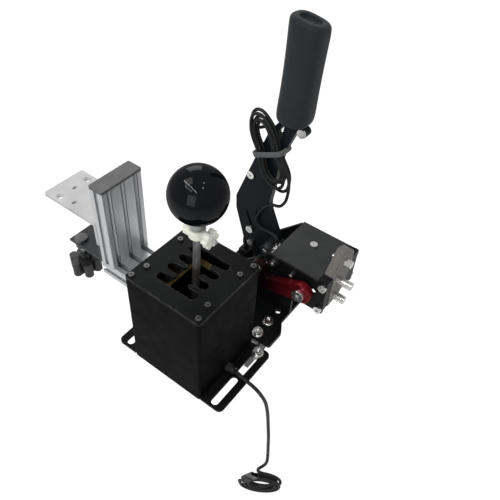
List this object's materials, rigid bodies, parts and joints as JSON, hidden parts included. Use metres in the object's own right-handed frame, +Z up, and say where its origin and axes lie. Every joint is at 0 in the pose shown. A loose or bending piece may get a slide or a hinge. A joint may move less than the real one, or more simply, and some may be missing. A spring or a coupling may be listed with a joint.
{
  "type": "sim racing gear shifter with handbrake",
  "caption": "H-gate gear shifter with ball knob beside a lever handbrake, on an L-shaped slotted aluminium frame with a desk clamp, cords attached.",
  "frame": {"origin": "underside of the desk clamp's top plate, at the middle of the column's rear face", "axes": "+Z up, +Y towards the desk, +X from the shifter towards the handbrake"},
  "size_m": [0.2185, 0.3834, 0.5857],
  "materials": {
    "clear_aluminium": "satin anodised",
    "clamp_steel": "pale powder coat",
    "jaw_steel": "dark satin",
    "dark_plastic": "matt",
    "cap_plastic": "matt",
    "black_coat": "fine satin powder coat",
    "arm_coat": "satin",
    "knob_gloss": "polished",
    "bright_steel": "bright plated",
    "plain_steel": "turned",
    "dark_steel": "blackened",
    "bronze": "turned",
    "red_anodised": "satin anodised",
    "milky_plastic": "translucent white",
    "board_resin": "matt",
    "grip_foam": "soft matt foam",
    "cord_rubber": "matt",
    "tie_fabric": "woven strap",
    "knob_plastic": "matt"
  },
  "bodies": {
    "frame": {"rail": "clear_aluminium", "column": "clear_aluminium", "end_caps": "cap_plastic", "frame_bolts": "bright_steel", "clamp_top_plate": "clamp_steel", "clamp_jaw": "jaw_steel", "base_plate": "black_coat", "front_cover": "black_coat", "rear_cover": "black_coat", "gate_plate": "black_coat", "housing_screws": "dark_steel", "gate_posts": "plain_steel", "pivot_bracket": "plain_steel", "pivot_bushes": "bronze", "switch_board": "board_resin", "gear_switches": "dark_plastic", "centring_springs": "plain_steel", "cable_gland": "dark_plastic", "brake_base": "black_coat", "left_side_plate": "black_coat", "right_side_plate": "black_coat", "top_plate": "black_coat", "brake_spacers": "black_coat", "side_screws": "bright_steel", "end_block": "black_coat", "end_plate": "black_coat", "end_screws": "bright_steel", "pivot_shaft": "dark_steel", "lever_stop": "black_coat", "return_spring": "plain_steel", "shifter_cord": "cord_rubber", "shifter_hank": "cord_rubber", "shifter_plug": "dark_plastic"},
    "selector": {"cradle": "plain_steel"},
    "stick": {"cross_pin": "bright_steel", "shaft_block": "dark_steel", "shift_shaft": "plain_steel", "shift_knob": "knob_gloss", "knob_collar": "plain_steel", "shaft_clip": "milky_plastic", "clip_screw": "bright_steel"},
    "stick_nut": {"thumb_nut": "milky_plastic"},
    "lever": {"lever_arm": "arm_coat", "lever_hub": "arm_coat", "arm_bolts": "dark_steel", "lever_grip": "grip_foam", "link_pin": "bright_steel", "brake_cord": "cord_rubber", "brake_hank": "cord_rubber", "hank_tie": "tie_fabric", "brake_plug": "dark_plastic"},
    "pull_slide": {"plunger": "plain_steel", "link_bolt": "bright_steel"},
    "link": {"pull_link": "red_anodised"},
    "left_pad": {"clamp_pad_left": "plain_steel"},
    "left_screw": {"clamp_screw_left": "plain_steel", "clamp_knob_left": "knob_plastic"},
    "right_pad": {"clamp_pad_right": "plain_steel"},
    "right_screw": {"clamp_screw_right": "plain_steel", "clamp_knob_right": "knob_plastic"}
  },
  "joints": [
    {"name": "gear_select", "type": "hinge", "parent": "frame", "child": "selector", "pos_m": [-0.056, -0.171, -0.027], "axis": [0, 1, 0], "range_deg": [-18.5, 9.1], "stiffness_Nm_per_rad": 3},
    {"name": "gear_engage", "type": "hinge", "parent": "selector", "child": "stick", "pos_m": [-0.056, -0.171, -0.027], "axis": [0.9966, 0, -0.082], "range_deg": [-9.2, 12.8]},
    {"name": "stick_nut_turn", "type": "hinge", "parent": "stick", "child": "stick_nut", "pos_m": [-0.04512, -0.16683, 0.10529], "axis": [-0.0026, 0.9995, -0.0313], "continuous": true},
    {"name": "lever_pull", "type": "hinge", "parent": "frame", "child": "lever", "pos_m": [0.0795, -0.169, -0.025], "axis": [1, 0, 0], "range_deg": [0, 16], "stiffness_Nm_per_rad": 20, "springref_deg": -5.73},
    {"name": "plunger_push", "type": "slide", "parent": "frame", "child": "pull_slide", "axis": [0, -1, 0], "range_m": [0, 0.00772]},
    {"name": "link_swing", "type": "hinge", "parent": "pull_slide", "child": "link", "pos_m": [0.04, -0.239, 0.002], "axis": [-1, 0, 0], "range_deg": [0, 5.52]},
    {"name": "left_clamp_lift", "type": "slide", "parent": "frame", "child": "left_pad", "axis": [0, 0, 1], "range_m": [-0.0006, 0.011]},
    {"name": "left_clamp_turn", "type": "hinge", "parent": "left_pad", "child": "left_screw", "pos_m": [-0.022, 0.045, -0.08], "axis": [0, 0, 1], "range_deg": [-180, 3170]},
    {"name": "right_clamp_lift", "type": "slide", "parent": "frame", "child": "right_pad", "axis": [0, 0, 1], "range_m": [-0.0006, 0.011]},
    {"name": "right_clamp_turn", "type": "hinge", "parent": "right_pad", "child": "right_screw", "pos_m": [0.022, 0.045, -0.08], "axis": [0, 0, 1], "range_deg": [-180, 3170]}
  ],
  "couplings": [
    {"joint": "plunger_push", "follows": "lever_pull", "m_per_rad": 0.027652},
    {"joint": "link_swing", "follows": "lever_pull", "ratio": 0.34449},
    {"joint": "left_clamp_turn", "follows": "left_clamp_lift", "rad_per_m": 5026.5},
    {"joint": "right_clamp_turn", "follows": "right_clamp_lift", "rad_per_m": 5026.5}
  ]
}
